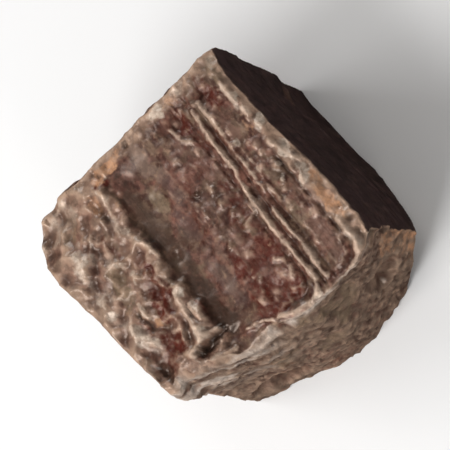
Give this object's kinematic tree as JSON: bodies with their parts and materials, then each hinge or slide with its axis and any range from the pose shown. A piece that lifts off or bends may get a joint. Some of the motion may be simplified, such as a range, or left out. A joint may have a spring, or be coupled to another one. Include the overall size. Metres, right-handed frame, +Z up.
{
  "type": "zircon crystal",
  "caption": "Rough brown zircon crystal: a stubby four-sided prism with a striated top face and broken ends, lying flat on one prism face.",
  "frame": {"origin": "under the middle of the crystal's box, on the surface it lies on", "axes": "+Z up, square to the striated face; +X along the crystal's long axis and its striations, towards the grainy stepped end; +Y towards the smooth dark prism face"},
  "size_m": [0.0212, 0.0214, 0.0163],
  "materials": {
    "zircon": "satin"
  },
  "bodies": {
    "root": {"zircon_crystal": "zircon"}
  },
  "joints": []
}
